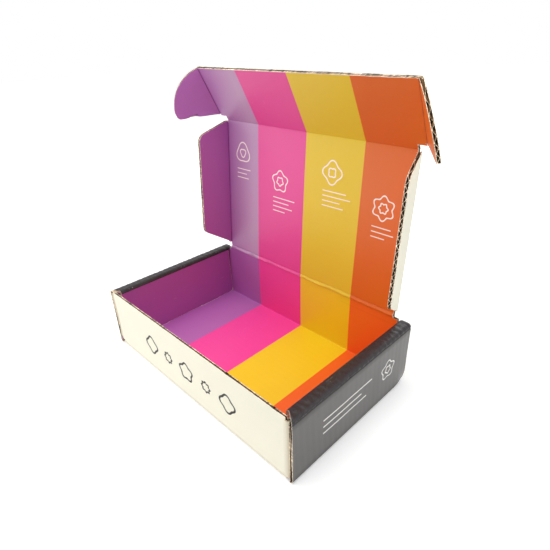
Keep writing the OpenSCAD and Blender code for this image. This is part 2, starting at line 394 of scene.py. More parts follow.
# A mask of where a value is over a level
def above(tree, value, level, contrast):
    return maths(tree, "MULTIPLY", less(tree, value, level), contrast, clamp=True)


def mixColour(tree, share, a, b):
    node = tree.nodes.new("ShaderNodeMix")
    node.data_type = "RGBA"
    for i, value in ((0, share), (6, a), (7, b)):
        if isinstance(value, bpy.types.NodeSocket):
            tree.links.new(value, node.inputs[i])
        else:
            node.inputs[i].default_value = value
    return node.outputs[2]


def noise(tree, vector, scale, detail=3.0, rough=0.55):
    node = tree.nodes.new("ShaderNodeTexNoise")
    node.inputs["Scale"].default_value = scale
    node.inputs["Detail"].default_value = detail
    node.inputs["Roughness"].default_value = rough
    tree.links.new(vector, node.inputs["Vector"])
    return node.outputs["Fac"]


def stretched(tree, vector, scale):
    node = tree.nodes.new("ShaderNodeMapping")
    node.inputs["Scale"].default_value = scale
    tree.links.new(vector, node.inputs["Vector"])
    return node.outputs["Vector"]


# A colour code as linear light
def rgb(code):
    parts = [int(code[i:i + 2], 16) / 255 for i in (1, 3, 5)]
    return tuple(x / 12.92 if x <= 0.04045 else ((x + 0.055) / 1.055) ** 2.4 for x in parts) + (1.0,)


white = (1, 1, 1, 1)

# Noise scales are in waves per metre of sheet
fibreLook = {"grain": (420, 1300, 420), "grainDetail": 4.0, "clouds": 34.0, "grainShare": 0.65}


# Fine paper fibre and slow clouds: a tint and a height
def makeFibre():
    g, given, out = group("paperFibre",
                          [("Place", "Vector", None), ("Colour", "Color", white), ("Amount", "Float", 0.1)],
                          [("Colour", "Color"), ("Height", "Float"), ("Cloud", "Float")])
    share = fibreLook["grainShare"]
    grain = noise(g, stretched(g, given["Place"], fibreLook["grain"]), 1.0, fibreLook["grainDetail"])
    cloud = noise(g, given["Place"], fibreLook["clouds"])
    mixed = added(g, times(g, grain, share), times(g, cloud, 1 - share))
    swing = times(g, less(g, mixed, 0.5), given["Amount"])
    tint = g.nodes.new("ShaderNodeVectorMath")
    tint.operation = "SCALE"
    g.links.new(given["Colour"], tint.inputs[0])
    g.links.new(added(g, 1.0, swing), tint.inputs["Scale"])
    g.links.new(tint.outputs[0], out["Colour"])
    g.links.new(grain, out["Height"])
    g.links.new(cloud, out["Cloud"])
    return g


wearLook = {"grit": 520.0, "gritDetail": 4.0, "gritRough": 0.65, "patches": 42.0, "contrast": 7.0,
            "crackReach": 1.3, "crackLevel": 1.08, "rubReach": 0.8, "rubLevel": 1.05,
            "soilAndShadeReach": 4.0, "creaseShadeReach": 1.2, "creaseShadeInk": (0.012, 0.008, 0.008, 1), "inkLost": 0.8}


# Ink cracks along a fold and rubs off along a cut edge, down to the paper. A fold also gets
# painted shade on its line, and a tint beside it that is partly soil and partly painted shade.
def makeWear():
    k = wearLook
    g, given, out = group("foldWear",
                          [("Place", "Vector", None), ("Colour", "Color", white), ("Paper", "Color", white),
                           ("Fold", "Float", 1.0), ("Edge", "Float", 1.0), ("Cracks", "Float", 0.5),
                           ("Rub", "Float", 0.5), ("Press", "Float", 0.0), ("Soil", "Color", white),
                           ("Soiled", "Float", 0.0)],
                          [("Colour", "Color"), ("Mask", "Float"), ("Bruise", "Float")])
    grit = noise(g, given["Place"], k["grit"], k["gritDetail"], k["gritRough"])
    patches = noise(g, given["Place"], k["patches"], 2.0)
    fold = maths(g, "ABSOLUTE", given["Fold"])
    near = times(g, nearness(g, fold, k["crackReach"] * mm), given["Cracks"])
    cracks = above(g, added(g, grit, times(g, near, times(g, patches, 2.0))), k["crackLevel"], k["contrast"])
    brink = times(g, nearness(g, given["Edge"], k["rubReach"] * mm), given["Rub"])
    rubs = above(g, added(g, grit, brink), k["rubLevel"], k["contrast"])
    mask = larger(g, cracks, rubs)
    # Beside a fold the colour drifts to a tint that is partly soil and partly painted shade
    shoulder = nearness(g, fold, k["soilAndShadeReach"] * mm)
    soiledAndShaded = mixColour(g, times(g, shoulder, given["Soiled"]), given["Colour"], given["Soil"])
    # Painted shade darkens the fold's own line
    line = nearness(g, fold, k["creaseShadeReach"] * mm)
    creaseShaded = mixColour(g, times(g, line, given["Press"]), soiledAndShaded, k["creaseShadeInk"])
    g.links.new(mixColour(g, times(g, mask, k["inkLost"]), creaseShaded, given["Paper"]), out["Colour"])
    g.links.new(mask, out["Mask"])
    g.links.new(times(g, shoulder, grit), out["Bruise"])
    return g


scuffLook = {"dots": 300.0, "dotDetail": 1.5, "dotLevel": 0.7, "dotContrast": 12.0,
             "hairs": (520, 60, 60), "hairLevel": 0.69, "hairContrast": 14.0,
             "patches": 16.0, "patchLevel": 0.5, "patchContrast": 6.0}


# Small pale flecks and hairlines where the print was handled
def makeScuffs():
    k = scuffLook
    g, given, out = group("handlingScuffs", [("Place", "Vector", None)], [("Mask", "Float")])
    place = given["Place"]
    dots = above(g, noise(g, place, k["dots"], k["dotDetail"]), k["dotLevel"], k["dotContrast"])
    hairs = above(g, noise(g, stretched(g, place, k["hairs"]), 1.0, 2.0), k["hairLevel"], k["hairContrast"])
    where = above(g, noise(g, place, k["patches"], 2.0), k["patchLevel"], k["patchContrast"])
    g.links.new(times(g, larger(g, dots, hairs), where), out["Mask"])
    return g


# Where each colour field starts across the sheet, where the first field's painted sheen starts and how long
# it grows, and how sharp a print edge is
fieldStarts = {"Second": -63.5, "Third": 0.0, "Fourth": 63.5}
fade = {"start": -118, "long": 45}
printEdge = 0.2


# Four colour fields side by side. The first one fades from its own colour to a pale one, a painted sheen.
def makeFields():
    inputs = [(n, "Color", white) for n in ("First", "PaintedSheen", "Second", "Third", "Fourth")]
    g, given, out = group("colourFields", [("Across", "Float", None)] + inputs, [("Colour", "Color")])
    into = less(g, given["Across"], fade["start"] * mm)
    share = shareOf(g, into, fade["long"] * mm)
    colour = mixColour(g, share, given["First"], given["PaintedSheen"])
    for name, start in fieldStarts.items():
        past = less(g, given["Across"], (start - printEdge / 2) * mm)
        colour = mixColour(g, shareOf(g, past, printEdge * mm), colour, given[name])
    g.links.new(colour, out["Colour"])
    return g


# Outline of a simple petalled mark, from a clover to a plain star flower
def makePetal():
    labels = ("Across", "Up", "X", "Y", "Size", "Lobes", "Swing", "Line")
    g, given, out = group("petalMark", [(n, "Float", 0.0) for n in labels], [("Mask", "Float")])
    dx = less(g, given["Across"], given["X"])
    dy = less(g, given["Up"], given["Y"])
    reach = maths(g, "SQRT", added(g, times(g, dx, dx), times(g, dy, dy)))
    wave = maths(g, "COSINE", times(g, maths(g, "ARCTAN2", dx, dy), given["Lobes"]))
    outline = times(g, given["Size"], added(g, 1.0, times(g, wave, given["Swing"])))
    apart = maths(g, "ABSOLUTE", less(g, reach, outline))
    g.links.new(nearness(g, less(g, apart, times(g, given["Line"], 0.5)), printEdge * mm), out["Mask"])
    return g


def makeBar():
    labels = ("Across", "Up", "Left", "Base", "Long", "Line")
    g, given, out = group("plainBar", [(n, "Float", 0.0) for n in labels], [("Mask", "Float")])
    half = times(g, given["Long"], 0.5)
    x = maths(g, "ABSOLUTE", less(g, less(g, given["Across"], given["Left"]), half))
    y = maths(g, "ABSOLUTE", less(g, given["Up"], given["Base"]))
    inX = shareOf(g, less(g, half, x), printEdge * mm)
    inY = shareOf(g, less(g, times(g, given["Line"], 0.5), y), printEdge * mm)
    g.links.new(times(g, inX, inY), out["Mask"])
    return g


fibreGroup, wearGroup, scuffGroup = makeFibre(), makeWear(), makeScuffs()
fieldGroup, petalGroup, barGroup = makeFields(), makePetal(), makeBar()


def use(tree, g, **values):
    node = tree.nodes.new("ShaderNodeGroup")
    node.node_tree = g
    for key, value in values.items():
        if isinstance(value, bpy.types.NodeSocket):
            tree.links.new(value, node.inputs[key])
        else:
            node.inputs[key].default_value = value
    return node.outputs


# Place on the sheet as a vector, across it and up it, in metres
def blankPlace(tree):
    uv = tree.nodes.new("ShaderNodeUVMap")
    uv.uv_map = "blank"
    parts = tree.nodes.new("ShaderNodeSeparateXYZ")
    tree.links.new(uv.outputs["UV"], parts.inputs[0])
    return uv.outputs["UV"], parts.outputs["X"], parts.outputs["Y"]


def measured(tree, label):
    node = tree.nodes.new("ShaderNodeAttribute")
    node.attribute_name = label
    return node.outputs["Fac"]


def freshMaterial(name):
    m = bpy.data.materials.new(name)
    m.use_nodes = True
    return m, m.node_tree, m.node_tree.nodes["Principled BSDF"]


def bumped(tree, shader, *parts):
    normal = None
    for height, distance, strength in parts:
        bump = tree.nodes.new("ShaderNodeBump")
        bump.inputs["Distance"].default_value = distance * mm
        bump.inputs["Strength"].default_value = strength
        tree.links.new(height, bump.inputs["Height"])
        if normal is not None:
            tree.links.new(normal, bump.inputs["Normal"])
        normal = bump.outputs["Normal"]
    tree.links.new(normal, shader.inputs["Normal"])


# Generic print: petalled outlines and plain bars
lidMarks = {"ink": "#FFF3EC", "size": 9.5, "swing": 0.13, "line": 1.1,
            "barLine": 1.1, "barGap": 4.6, "barDrop": 17.0,
            "spots": ((-87.0, 112.0, 3, (21, 15, 18)), (-32.0, 92.0, 5, (30, 22, 27, 17)),
                      (32.0, 112.0, 4, (26, 31, 20, 24)), (87.0, 92.0, 6, (19, 22, 14)))}
frontMarks = {"ink": "#2E2A28", "swing": 0.12, "line": 1.9, "rise": 31.0,
              "spots": ((-56.0, 8.5, 4), (-28.0, 5.0, 8), (0.0, 8.5, 5), (28.0, 5.0, 8), (56.0, 8.5, 4))}
sideMarks = {"ink": "#ECE9E4", "size": 8.5, "swing": 0.14, "line": 1.1, "place": 44.0, "rise": 33.0,
             "lobes": 5, "barLine": 1.5, "barStart": -42.0,
             "bars": ((38.0, 62.0), (31.5, 48.0), (25.0, 55.0))}
innerSize = 0.42  # an inner outline against the one around it


def together(tree, masks):
    total = masks[0]
    for mask in masks[1:]:
        total = larger(tree, total, mask)
    return total


def petal(tree, across, up, x, y, size, lobes, swing, line):
    return use(tree, petalGroup, Across=across, Up=up, X=x * mm, Y=y * mm, Size=size * mm,
               Lobes=float(lobes), Swing=swing, Line=line * mm)["Mask"]


# Two outlines, the inner one with its petals between those of the outer
def petalPair(tree, across, up, x, y, lobes, k):
    return [petal(tree, across, up, x, y, k["size"], lobes, k["swing"], k["line"]),
            petal(tree, across, up, x, y, k["size"] * innerSize, lobes, -k["swing"], k["line"])]


def bar(tree, across, up, left, base, long, line):
    return use(tree, barGroup, Across=across, Up=up, Left=left * mm, Base=base * mm, Long=long * mm,
               Line=line * mm)["Mask"]


def lidPrint(tree, across, up):
    masks, k = [], lidMarks
    for x, y, lobes, bars in k["spots"]:
        masks += petalPair(tree, across, up, x, y, lobes, k)
        for n, long in enumerate(bars):
            base = y - k["barDrop"] - n * k["barGap"]
            masks.append(bar(tree, across, up, x - k["size"], base, long, k["barLine"]))
    return together(tree, masks)


# Height on a wall, from a place on the sheet and the tray's half width or depth
def upWall(tree, fromMiddle, half):
    return less(tree, maths(tree, "ABSOLUTE", fromMiddle), (half + bendLength - 2 * bendR) * mm)


def frontPrint(tree, across, up):
    k = frontMarks
    height = upWall(tree, up, box["halfD"])
    return together(tree, [petal(tree, across, height, x, k["rise"], size, lobes, k["swing"], k["line"])
                           for x, size, lobes in k["spots"]])


def sidePrint(tree, across, up):
    k = sideMarks
    height = upWall(tree, across, box["halfW"])
    masks = petalPair(tree, up, height, k["place"], k["rise"], k["lobes"], k)
    for base, long in k["bars"]:
        masks.append(bar(tree, up, height, k["barStart"], base, long, k["barLine"]))
    return together(tree, masks)


# Inks and papers. The tint beside a fold is partly soil and partly painted shade, and paper is what shows
# where ink is lost.
inks = {"First": "#B062B1", "PaintedSheen": "#B46CB2", "Second": "#F449A1", "Third": "#F3D31C",
        "Fourth": "#F0691D"}
# Darker copies of the inks for the lid and for all that is orange: painted shade. Their pale first field is a
# painted sheen.
shadeAndSheenInks = {"First": "#B06EB1", "PaintedSheen": "#C29ABE", "Second": "#E94C9A", "Third": "#E7C72A",
             "Fourth": "#DE6916"}
gloss = {"roughness": 0.4, "specular": 0.4, "coat": 0.2, "coatLeft": 0.4, "coatRoughness": 0.35,
         "fibre": 0.1, "cracks": 0.4, "rub": 1.25, "creaseShade": 0.06, "soiledAndShaded": 0.0, "soilAndShadeTint": "#8A6A50",
         "paper": "#F6E6DA", "crinkle": 0.0}
flapGloss = dict(gloss, cracks=0.15, creaseShade=0.75, rub=1.0)
varnish = dict(gloss, roughness=0.5, specular=0.3, coat=1.0, coatLeft=0.3, coatRoughness=0.3,
               fibre=0.2, rub=1.1, creaseShade=0.85, paper="#D6CEC2")
bandVarnish = dict(varnish, specular=0.2, coat=0.5, coatLeft=0.5, cracks=0.45, rub=0.9, crinkle=1.0)
matt = dict(gloss, roughness=0.62, specular=0.3, coat=0.0, fibre=0.07, cracks=0.42, rub=0.2,
            creaseShade=0.0, soiledAndShaded=0.32, soilAndShadeTint="#B39468", paper="#E9DFCB")
bare = dict(gloss, roughness=0.86, specular=0.2, coat=0.0, fibre=0.35, cracks=0.0, rub=0.0, creaseShade=0.0)
cut = dict(bare, fibre=7.0)

# What all finishes share. A bump is (height in mm, strength).
surface = {"roughLess": 0.06, "roughSwing": 0.14, "wornRough": 0.25, "scuffShare": 0.16,
           "coatReach": 6.0, "fibreBump": (0.05, 0.5), "cloudBump": (0.5, 0.35),
           "bruiseBump": (0.3, 0.5), "crinkles": 150.0, "crinkleHigh": 2.6}


def paperFinish(name, look, colour, marks=None, markInk=None):
    m, tree, shader = freshMaterial(name)
    shader.inputs["Specular IOR Level"].default_value = look["specular"]
    shader.inputs["Coat Roughness"].default_value = look["coatRoughness"]
    place, across, up = blankPlace(tree)
    if isinstance(colour, dict):
        fields = {label: rgb(code) for label, code in colour.items()}
        base = use(tree, fieldGroup, Across=across, **fields)["Colour"]
    else:
        base = rgb(colour)
    if marks is not None:
        base = mixColour(tree, marks(tree, across, up), base, rgb(markInk))
    fibre = use(tree, fibreGroup, Place=place, Colour=base, Amount=look["fibre"])
    fold = measured(tree, "foldDistance")
    wear = use(tree, wearGroup, Place=place, Colour=fibre["Colour"], Paper=rgb(look["paper"]), Fold=fold,
               Edge=measured(tree, "edgeDistance"), Cracks=look["cracks"], Rub=look["rub"],
               Press=look["creaseShade"], Soil=rgb(look["soilAndShadeTint"]), Soiled=look["soiledAndShaded"])
    tint = wear["Colour"]
    rough = added(tree, look["roughness"] - surface["roughLess"],
                  times(tree, fibre["Cloud"], surface["roughSwing"]))
    if look["cracks"] > 0:
        scuffs = use(tree, scuffGroup, Place=place)["Mask"]
        tint = mixColour(tree, times(tree, scuffs, surface["scuffShare"]), tint, rgb(look["paper"]))
        bared = larger(tree, scuffs, wear["Mask"])
        rough = maths(tree, "ADD", rough, times(tree, bared, surface["wornRough"]), clamp=True)
    tree.links.new(tint, shader.inputs["Base Color"])
    tree.links.new(rough, shader.inputs["Roughness"])
    if look["coat"] > 0:
        away = shareOf(tree, maths(tree, "ABSOLUTE", fold), surface["coatReach"] * mm)
        whole = added(tree, times(tree, away, 1 - look["coatLeft"]), look["coatLeft"])
        whole = times(tree, less(tree, 1.0, wear["Mask"]), whole)
        tree.links.new(times(tree, whole, look["coat"]), shader.inputs["Coat Weight"])
    heights = [(fibre["Height"], *surface["fibreBump"]), (fibre["Cloud"], *surface["cloudBump"]),
               (wear["Bruise"], *surface["bruiseBump"])]
    if look["crinkle"] > 0:
        crinkles = noise(tree, place, surface["crinkles"], 2.0)
        heights.append((crinkles, surface["crinkleHigh"], look["crinkle"]))
    bumped(tree, shader, *heights)
    return m


finishes = {
    "stripes": paperFinish("stripePrint", gloss, inks),
    # The lid's print and the orange take the darker copies of the inks, painted shade, and the lid's first
    # field fades to a painted sheen.
    "lidStripes": paperFinish("lidPrint", gloss, shadeAndSheenInks, lidPrint, lidMarks["ink"]),
    "violet": paperFinish("violetPrint", flapGloss, inks["First"]),
    "orange": paperFinish("orangePrint", flapGloss, shadeAndSheenInks["Fourth"]),
    # The left wall's inside is the first ink darkened: painted shade.
    "plum": paperFinish("shadedVioletPrint", dict(gloss, rub=0.8), "#A252A0"),
    "black": paperFinish("blackPrint", varnish, "#2A2622", sidePrint, sideMarks["ink"]),
    "band": paperFinish("bandPrint", bandVarnish, "#2A2426"),
    "cream": paperFinish("creamLiner", matt, "#FAF6E3"),
    "front": paperFinish("creamPrint", matt, "#FAF6E3", frontPrint, frontMarks["ink"]),
    "plain": paperFinish("plainLiner", bare, "#EDE4D2"),
    # The liners' backs and the core are darker than their kraft: partly the paper's own brown and partly
    # painted shade for the flutes' hollows.
    "pulp": paperFinish("linerBackInShade", cut, "#7C5C3C"),
    "edge": paperFinish("cutPaper", cut, "#F6E4C8"),
    "core": paperFinish("flutedPaperInShade", cut, "#6E5034"),
}
print("finishes ready")

# What folding and handling did to the board. backLine is a pressed line on the back wall, drawn only by fold
# wear,
# painted shade and soil: its height and its two ends.
worn = {"bandSag": 0.4, "sagStart": 0.6, "sagGrow": 1.6, "sagEnd": 2.0, "sagLimits": (0.05, 1.2),
        "groove": 0.6, "grooveWide": 0.45, "brimBack": 0.55, "rearGap": 2.4, "rearShare": 0.65,
        "pinch": 0.3, "pinchDeep": 1.8, "footPrint": 4.0, "footReach": 8.0,
        "footPress": (-1.8, -1.1, 0.8), "bow": 0.45, "bowX": 108, "bowY": 64, "bowGrow": 6,
        "backLine": (57.0, 50.0, 111.0), "frontFray": 0.28, "sideFray": 0.34}

# Steps between columns and between rows, and parts of a bend
grid = {"middle": (-60, 0, 60), "bend": 6, "floor": (8, 1.6), "endWall": (6, 1.6), "corner": (10, 1.6),
        "sideWall": (8, 1.3), "lid": (8, 1.6), "tuck": (6, 1.4), "flap": (2.0, 0.9),
        "creaseLong": 3, "creaseRows": 1.0, "creaseCore": 0.4, "floorCore": 1.0,
        "sideCore": board["flute"] / 10}

# The rolled side wall: up from the floor, over the band and down to its locking tabs
sidePath = foldedPath((rolledX, 0), 0, [
    (0, 90), (box["height"] - 2 * bendR, 0),
    (0, 90), (box["halfW"] - box["innerX"] - 2 * bendR, 0),
    (0, 90), (box["height"] - bendR - box["seat"], 0)])
bandStart, bandEnd, wallEnd = sidePath[2][0], sidePath[4][1], sidePath[5][1]
bandStep = 0.03  # the inner wall's ends are cut back over this short way past the band
footEnd = bendLength + worn["footPrint"]
brim = bandStart - worn["brimBack"]
pastBand = bandEnd + bandStep


def sidePlace(sign):
    def place(u, v, w):
        s = np.abs(u) - rolledX
        inset = box["halfW"] - along(sidePath, s, np.zeros_like(s))[:, 0]
        slit = box["slitY"]
        slant = -box["halfD"] + inset * (slit + box["halfD"]) / (box["halfW"] - box["tuckEdge"])
        front = np.where(s < bandStart, -box["halfD"], np.minimum(slant, slit))
        drop = np.clip((s - bandEnd) / (wallEnd - bandEnd), 0, 1)
        rear = box["rearY"] + worn["rearGap"] * (drop - worn["rearShare"])
        rear = np.where(s > bandEnd + bandStep / 2, rear, box["halfD"])
        apart = (s - brim - sway(v, "brim", sign)) / worn["grooveWide"]
        groove = worn["groove"] * np.exp(-apart ** 2) * (w < thick / 2)
        at = along(sidePath, s, w + groove)
        return np.c_[sign * at[:, 0], np.clip(v, front, rear), at[:, 1]]
    return place


def bandSag(u, v):
    s = np.abs(u) - rolledX
    grown = np.clip((s - bandStart + worn["sagStart"]) / worn["sagGrow"], 0, 1)
    share = grown * np.clip((bandEnd - bendLength - s) / worn["sagEnd"], 0, 1)
    patchy = np.clip(sway(v, "sagAlong") + sway(u, "sagAcross"), *worn["sagLimits"])
    return board["sag"] + worn["bandSag"] * share * patchy


# 1 past a wall's inner side and 0 further in, with the sign of the side
def nearWall(t, start):
    return np.clip((np.abs(t) - start) / worn["bowGrow"], 0, 1) * np.sign(t)


# The rear right foot is crushed, and the walls bow in a little between their edges
def trayWarp(p):
    fromFoot = np.linalg.norm(p - np.array([box["halfW"], box["halfD"], 0]), axis=1)
    crush = np.exp(-(fromFoot / worn["footReach"]) ** 2)
    out = p + crush[:, None] * np.array(worn["footPress"])
    lean = worn["bow"] * np.sin(math.pi * np.clip(p[:, 2] / box["height"], 0, 1))
    out[:, 0] -= lean * nearWall(p[:, 0], worn["bowX"]) * sway(p[:, 1], "bowSide")
    out[:, 1] -= lean * nearWall(p[:, 1], worn["bowY"]) * sway(p[:, 0], "bowEnd")
    return out


def endPath(rise):
    return foldedPath((rolledY, 0), 0, [(0, 90), (rise - bendR, 0)])


# The board is squeezed a little where a blade has cut along its flutes
def pinched(w, away):
    squeeze = 1 - worn["pinch"] * np.exp(-(away / worn["pinchDeep"]) ** 2)
    return thick / 2 + (w - thick / 2) * squeeze


def endPlace(path, sign, cutAt=None):
    def place(u, v, w):
        if cutAt is not None:
            w = pinched(w, cutAt - np.abs(v))
        at = along(path, np.abs(v) - rolledY, w)
        return np.c_[u, sign * at[:, 0], at[:, 1]]
    return place


def cornerPlace(side, sign):
    path = foldedPath((cornerX, 0), 0, [(0, 90), (max(box["flapReach"]), 0)])

    def place(u, v, w):
        at = along(path, np.abs(u) - cornerX, w)
        return np.c_[side * at[:, 0], sign * (box["halfD"] - at[:, 1]), wallHeight(v)]
    return place


def flatPlace(u, v, w):
    return np.c_[u, v, w]


# Distance in the blank of a wall's point at height z, and back again
def blankRise(z):
    return z + bendLength - 2 * bendR + box["halfD"]


def wallHeight(v):
    return np.abs(v) - blankRise(0)


def bendStops(start):
    return start + bendLength * np.arange(grid["bend"]) / grid["bend"]


# Columns or rows for one side, mirrored for the left and the front
def sided(values, side):
    return values if side > 0 else mirrored(values)


floorFolds = bothSides("v", rolledY + bendLength / 2) + bothSides("u", rolledX + bendLength / 2)
cornerFolds = bothSides("u", cornerX + bendLength / 2)


def floorArea():
    slotX, slotY = box["slotX"], box["slotY"]
    xs = spread([-rolledX, *mirrored(slotX), *grid["middle"], *slotX, rolledX], grid["floor"][0])
    ys = spread([-rolledY, *mirrored(slotY), *slotY, rolledY], grid["floor"][1])

    # Slots for the locking tabs
    def clear(x, y):
        inX = (np.abs(x) > slotX[0]) & (np.abs(x) < slotX[1])
        inY = (np.abs(y) > slotY[0]) & (np.abs(y) < slotY[1])
        return ~(inX & inY)

    return area(xs, ys, flatPlace, "plain", "stripes", keep=clear, folds=floorFolds,
                joins=(("u", rolledX), ("v", rolledY)), step=grid["floorCore"])


# The front wall has a cut upper edge, and the back wall carries on into the lid's crease
def endWall(sign):
    front = sign < 0
    top = box["height"] if front else box["backTop"]
    step = cornerX - box["nick"] if front else box["backStep"]
    heights = spread(sorted({bendR, *box["notch"], box["midRow"], box["underBand"], top}),
                     grid["endWall"][1])
    rows = sided(np.concatenate([bendStops(rolledY), blankRise(heights)]), sign)
    stops = [-cornerX, -box["notchX"], -box["lidX"], *grid["middle"], box["lidX"], cornerX, -step, step]
    folds, cuts, joins = floorFolds + cornerFolds, (), (("v", rolledY), ("u", cornerX))
    if front:
        cuts = (("v", -blankRise(top), worn["frontFray"]),)
    else:
        rise, left, right = worn["backLine"]
        folds = folds + [("v", blankRise(rise), left, right),
                         ("v", blankRise(box["hingeRise"]), -box["hingeHalf"], box["hingeHalf"])]
        joins += (("v", blankRise(top)),)

    def wall(x, y):
        h = wallHeight(y)
        leftNotch = (h < box["notch"][0]) & (x < -box["notchX"])
        rightNotch = (h < box["notch"][1]) & (x > cornerX - box["nick"])
        besideBand = (h > box["underBand"]) & (np.abs(x) > step)
        return ~(np.where(x < 0, leftNotch, rightNotch) | besideBand)

    place = endPlace(endPath(top), sign, blankRise(top) if front else None)
    return area(spread(sorted(stops), grid["endWall"][0]), rows, place, "front" if front else "cream",
                "stripes", keep=wall, folds=folds, cuts=cuts, joins=joins)


def cornerFlap(sign, side):
    reach = box["flapReach"][int(sign > 0)]
    low = box["notch"][int(side > 0)]
    heights = spread([low, box["midRow"], box["underBand"]], grid["corner"][1])
    zs = sided(blankRise(heights), sign)
    flat = spread([0, reach - 1, reach], grid["corner"][0])
    us = sided(np.concatenate([bendStops(cornerX), cornerX + bendLength + flat]), side)
    return area(us, zs, cornerPlace(side, sign), "front" if sign < 0 else "cream",
                "violet" if side < 0 else "orange", folds=cornerFolds,
                cuts=(("u", side * (cornerX + bendLength + reach), board["fray"]),),
                joins=(("u", cornerX),))


def trayFloor():
    areas = [floorArea()]
    for sign in (-1, 1):
        areas += [endWall(sign), cornerFlap(sign, -1), cornerFlap(sign, 1)]
    return boardPiece("tray_floor", areas, seeds["floor"], trayWarp)


# What lies between two distances up the rolled wall
def between(low, high):
    return lambda x, y: (np.abs(x) >= rolledX + low) & (np.abs(x) < rolledX + high)


# Black outside up to the brim, the band's own black on top, and inside a violet or an orange darkened as
# painted shade.
# Faces that the layers hide are plain, but for the lining just above the floor.
def trayWall(name, side, face, lining):
    grooveStops = [bandStart - back for back in (2, 1.5, 1.15, 0.85, worn["brimBack"], 0.25)]
    stops = [*pathStops(sidePath, grid["sideWall"][0], grid["bend"]), pastBand,
             bandEnd - bendLength / 2, footEnd, *grooveStops]
    us = sided(rolledX + np.unique(np.round(stops, 4)), side)
    tabUs = sided(rolledX + np.array([wallEnd, wallEnd + box["tabDrop"]]), side)
    deep, tabY = box["halfD"], box["tabY"]
    ys = spread([-deep, box["slitY"], *mirrored(tabY), *tabY, box["rearY"], deep], grid["sideWall"][1])
    place = sidePlace(side)
    folds = [("u", side * (rolledX + s), *anywhere) for s in (bendLength / 2, brim, bandEnd - bendLength / 2)]
    inner = dict(folds=folds, sag=bandSag, step=grid["sideCore"])
    outer = dict(inner, joins=(("u", rolledX),),
                 cuts=(("v", -deep, worn["sideFray"]), ("v", deep, board["fray"])))

    def tabs(x, y):
        return (np.abs(y) > tabY[0]) & (np.abs(y) < tabY[1])

    areas = [area(us, ys, place, "black", lining, keep=between(0, footEnd), **outer),
             area(us, ys, place, "black", "plain", keep=between(footEnd, brim), **outer),
             area(us, ys, place, "band", "plain", keep=between(brim, pastBand), **outer),
             area(us, ys, place, face, "plain", keep=between(pastBand, wallEnd + bandStep), **inner),
             area(tabUs, ys, place, face, "plain", keep=tabs, step=grid["sideCore"])]
    return boardPiece(name, areas, seeds["wall"] + side, trayWarp)


for piece, nodes in ((trayFloor(), ["tray"]), (trayWall("left_wall", -1, "plum", "violet"), []),
                     (trayWall("right_wall", 1, "orange", "orange"), [])):
    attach(piece, "tray")
    if nodes:
        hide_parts(*nodes)
print("tray ready")

# Lid, flaps and creases, each in the frame of its own panel. The ledge on the lid's crease takes
# a short jog to one side at jogAt.
lid = {"halfW": 110.4, "length": 143.0, "open": 93.5, "crease": 2.2, "gap": 0.15, "bow": 0.5,
       "ridge": 1.1, "ledgeAt": 1.0, "ledgeSlope": 2.4, "ledgeFoot": 0.7, "valley": 0.4, "valleyAt": 1.35,
       "valleyWide": 0.4, "jog": 0.35, "jogAt": 22, "jogLong": 3, "fadeOut": 5, "grooveWide": 0.5}
dust = {"reach": 38.0, "root": 5.0, "rearSlant": 22.0, "frontSlant": 13.0, "round": 9.0, "frontGap": 0.3,
        "leftFold": 90.0, "rightFold": 71.5, "groove": 0.4, "tip": 142.0}
tuck = {"halfW": 118.1, "reach": 57.5, "fold": 31.0, "neckStep": 4.5, "groove": 0.25}
ear = {"top": 6.2, "reach": 46.0, "slant": 13.0, "tip": 4.0, "arcParts": 14, "fold": 52.0, "groove": 0.4,
       "dentAt": 27.0, "dentWide": 4.6, "dentHigh": 2.4, "dentDeep": 0.5, "dentPull": 3.0,
       "dentLineUp": 2.2, "dentLineHalf": 5}
frayFrom = 6.0  # a flap's outline is torn only this far out from its fold
crease, hingeCrease, lidTurn = lid["crease"], box["hingeCrease"], 90 - lid["open"]
outerRows = [0.25, 0.5, 0.8, 1.1, 1.45, 1.8, crease]
acrossRows = np.concatenate([mirrored(outerRows), [0], outerRows])
hingeRows = np.concatenate([[-hingeCrease, -2.6], acrossRows, [2.6, hingeCrease]])


def frameAt(origin, x, y):
    x, y = np.array(x, float), np.array(y, float)
    return np.array(origin, float), np.array([x, y, np.cross(x, y)])


# The same frame turned about one of its own axes: 0 for x, 1 for y
def turned(f, angle, about):
    o, a = f
    c, s = math.cos(math.radians(angle)), math.sin(math.radians(angle))
    if about == 0:
        return o, np.array([a[0], c * a[1] + s * a[2], -s * a[1] + c * a[2]])
    return o, np.array([c * a[0] - s * a[2], a[1], s * a[0] + c * a[2]])


def moved(f, x=0.0, y=0.0):
    o, a = f
    return o + x * a[0] + y * a[1], a


def inFrame(f, points):
    o, a = f
    return o + points @ a


wallFrame = frameAt((0, box["hingeY"], box["hingeRise"]), (1, 0, 0), (0, 0, 1))
lidFrame = turned(wallFrame, lidTurn, 0)
lidEdge = moved(lidFrame, y=lid["length"])
tuckFrame = turned(lidEdge, tuck["fold"], 0)


def panelPlace(f, lift=None):
    def place(u, v, w):
        z = w - thick
        if lift is not None:
            z = z + lift(u, v)
        return inFrame(f, np.c_[u, v, z])
    return place


# How far the inner face stands out at a crease: a ledge under the lid, a groove at the other folds
def ledge(u, v):
    shift = sway(u, "ledgeShift") + lid["jog"] * np.tanh((u - lid["jogAt"]) / lid["jogLong"])
    slope = np.clip((lid["ledgeAt"] + shift - v) / lid["ledgeSlope"], 0, 1)
    slope = slope * np.clip((v + crease) / lid["ledgeFoot"], 0, 1)
    tall = lid["ridge"] * sway(u, "ledgeTall")
    valley = lid["valley"] * np.exp(-((v - lid["valleyAt"] - shift) / lid["valleyWide"]) ** 2)
    out = tall * np.sin(slope * math.pi / 2) ** 2 - valley
    return out * np.clip(lid["fadeOut"] * (1 - np.abs(v) / crease), 0, 1)


